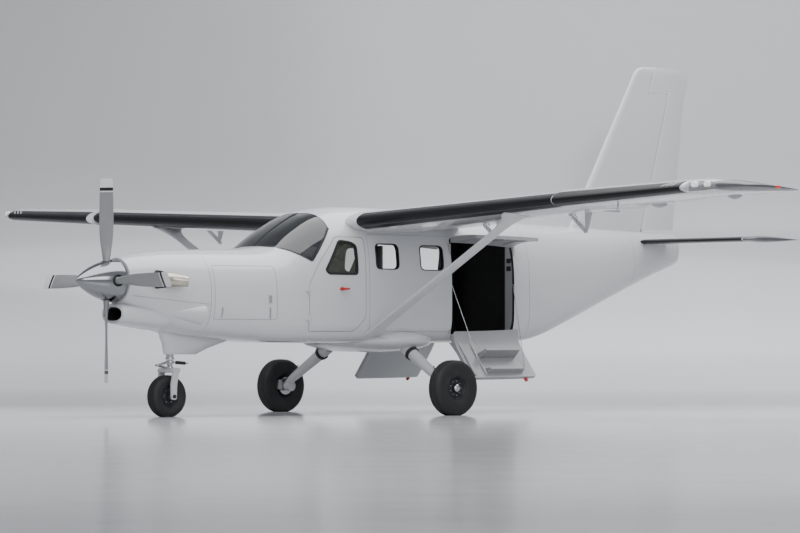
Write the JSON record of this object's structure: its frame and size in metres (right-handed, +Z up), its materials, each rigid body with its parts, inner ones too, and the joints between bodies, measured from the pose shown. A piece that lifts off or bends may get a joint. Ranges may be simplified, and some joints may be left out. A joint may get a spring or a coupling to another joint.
{
  "type": "single-engine utility airplane",
  "caption": "High-wing strut-braced turboprop utility airplane on fixed tricycle gear, with turning propeller and wheels, moving controls, crew doors and open two-piece cargo doors",
  "frame": {"origin": "on the ground, under the middle of the bounding box", "axes": "nose toward -X, port wing toward -Y, +Z up"},
  "size_m": [10.484, 13.72, 4.6506],
  "materials": {
    "white_paint": "gloss",
    "grey_metal": "satin",
    "engine_iron": "matte",
    "bright_steel": "satin",
    "polished_spinner": "polished",
    "blade_grey": "satin",
    "windshield_tint": "polished",
    "tyre_rubber": "matte",
    "wheel_dark": "satin",
    "cabin_lining": "matte",
    "dark_plastic": "matte",
    "seat_cloth": "matte"
  },
  "bodies": {
    "airframe": {"cabin_shell": "white_paint", "tail_cone": "white_paint", "firewall": "grey_metal", "rear_bulkhead": "cabin_lining", "cabin_floor": "cabin_lining", "cargo_floor": "cabin_lining", "windshield": "windshield_tint", "cowl_upper": "white_paint", "cowl_lower": "white_paint", "engine_block": "engine_iron", "exhaust_left": "bright_steel", "exhaust_right": "bright_steel", "wing_left": "white_paint", "wing_right": "white_paint", "strut_left": "white_paint", "strut_right": "white_paint", "fin": "white_paint", "tailplane_left": "white_paint", "tailplane_right": "white_paint", "nose_gear_fairing": "white_paint", "nose_leg": "bright_steel", "belly_fairing": "white_paint", "main_leg_left": "white_paint", "main_leg_right": "white_paint", "instrument_panel": "dark_plastic", "seat_left": "seat_cloth", "seat_right": "seat_cloth"},
    "propeller_body": {"propeller": "blade_grey", "spinner": "polished_spinner"},
    "nose_steering_body": {"nose_fork": "bright_steel"},
    "nose_wheel": {"nose_tyre": "tyre_rubber", "nose_hub": "wheel_dark"},
    "rudder_body": {"rudder": "white_paint"},
    "main_wheel_left": {"main_tyre_left": "tyre_rubber", "main_hub_left": "wheel_dark"},
    "flap_left_body": {"flap_left": "white_paint"},
    "aileron_left_body": {"aileron_left": "white_paint"},
    "elevator_left_body": {"elevator_left": "white_paint"},
    "crew_door_left_body": {"crew_door_left": "white_paint"},
    "cargo_door_upper_left_body": {"cargo_door_upper_left": "white_paint"},
    "airstair_left_body": {"airstair_left": "white_paint"},
    "main_wheel_right": {"main_tyre_right": "tyre_rubber", "main_hub_right": "wheel_dark"},
    "flap_right_body": {"flap_right": "white_paint"},
    "aileron_right_body": {"aileron_right": "white_paint"},
    "elevator_right_body": {"elevator_right": "white_paint"},
    "crew_door_right_body": {"crew_door_right": "white_paint"},
    "cargo_door_upper_right_body": {"cargo_door_upper_right": "white_paint"},
    "airstair_right_body": {"airstair_right": "white_paint"}
  },
  "joints": [
    {"name": "propeller_spin", "type": "hinge", "parent": "airframe", "child": "propeller_body", "pos_m": [-4.777, 0, 1.648], "axis": [1, 0, 0], "continuous": true},
    {"name": "nose_steering", "type": "hinge", "parent": "airframe", "child": "nose_steering_body", "pos_m": [-3.812, 0, 0.65], "axis": [0, 0, 1], "range_deg": [-30, 30]},
    {"name": "nose_wheel_spin", "type": "hinge", "parent": "nose_steering_body", "child": "nose_wheel", "pos_m": [-3.86, 0, 0.258], "axis": [0, 1, 0], "continuous": true},
    {"name": "main_wheel_left_spin", "type": "hinge", "parent": "airframe", "child": "main_wheel_left", "pos_m": [-0.677, -1.657, 0.347], "axis": [0, 1, 0], "continuous": true},
    {"name": "main_wheel_right_spin", "type": "hinge", "parent": "airframe", "child": "main_wheel_right", "pos_m": [-0.677, 1.657, 0.347], "axis": [0, 1, 0], "continuous": true},
    {"name": "flap_left_hinge", "type": "hinge", "parent": "airframe", "child": "flap_left_body", "pos_m": [-0.1986, -2.68, 2.249], "axis": [0, 1, 0], "range_deg": [0, 35]},
    {"name": "aileron_left_hinge", "type": "hinge", "parent": "airframe", "child": "aileron_left_body", "pos_m": [-0.3798, -4.492, 2.5689], "axis": [0.0321, 0.9985, -0.0449], "range_deg": [-25, 16]},
    {"name": "elevator_left_hinge", "type": "hinge", "parent": "airframe", "child": "elevator_left_body", "pos_m": [4.583, -1, 2.265], "axis": [0, 1, 0], "range_deg": [-25, 16]},
    {"name": "flap_right_hinge", "type": "hinge", "parent": "airframe", "child": "flap_right_body", "pos_m": [-0.1986, 2.68, 2.249], "axis": [0, 1, 0], "range_deg": [0, 35]},
    {"name": "aileron_right_hinge", "type": "hinge", "parent": "airframe", "child": "aileron_right_body", "pos_m": [-0.3798, 4.492, 2.5689], "axis": [-0.0321, 0.9985, 0.0449], "range_deg": [-25, 16]},
    {"name": "elevator_right_hinge", "type": "hinge", "parent": "airframe", "child": "elevator_right_body", "pos_m": [4.583, 1, 2.265], "axis": [0, 1, 0], "range_deg": [-25, 16]},
    {"name": "rudder_hinge", "type": "hinge", "parent": "airframe", "child": "rudder_body", "pos_m": [4.3065, 0, 2.44], "axis": [0.2788, 0, 0.9604], "range_deg": [-22, 22]},
    {"name": "crew_door_left_hinge", "type": "hinge", "parent": "airframe", "child": "crew_door_left_body", "pos_m": [-2.242, -0.77, 1.4], "axis": [0, 0, -1], "range_deg": [0, 75]},
    {"name": "crew_door_right_hinge", "type": "hinge", "parent": "airframe", "child": "crew_door_right_body", "pos_m": [-2.242, 0.77, 1.4], "axis": [0, 0, 1], "range_deg": [0, 75]},
    {"name": "cargo_door_upper_left_hinge", "type": "hinge", "parent": "airframe", "child": "cargo_door_upper_left_body", "pos_m": [0.683, -0.6921, 2.233], "axis": [-1, 0, 0], "range_deg": [-86, 0]},
    {"name": "airstair_left_hinge", "type": "hinge", "parent": "airframe", "child": "airstair_left_body", "pos_m": [0.683, -0.7116, 1.006], "axis": [-1, 0, 0], "range_deg": [0, 141.5]},
    {"name": "cargo_door_upper_right_hinge", "type": "hinge", "parent": "airframe", "child": "cargo_door_upper_right_body", "pos_m": [0.683, 0.6921, 2.233], "axis": [1, 0, 0], "range_deg": [-86, 0]},
    {"name": "airstair_right_hinge", "type": "hinge", "parent": "airframe", "child": "airstair_right_body", "pos_m": [0.683, 0.7116, 1.006], "axis": [1, 0, 0], "range_deg": [0, 141.5]}
  ]
}
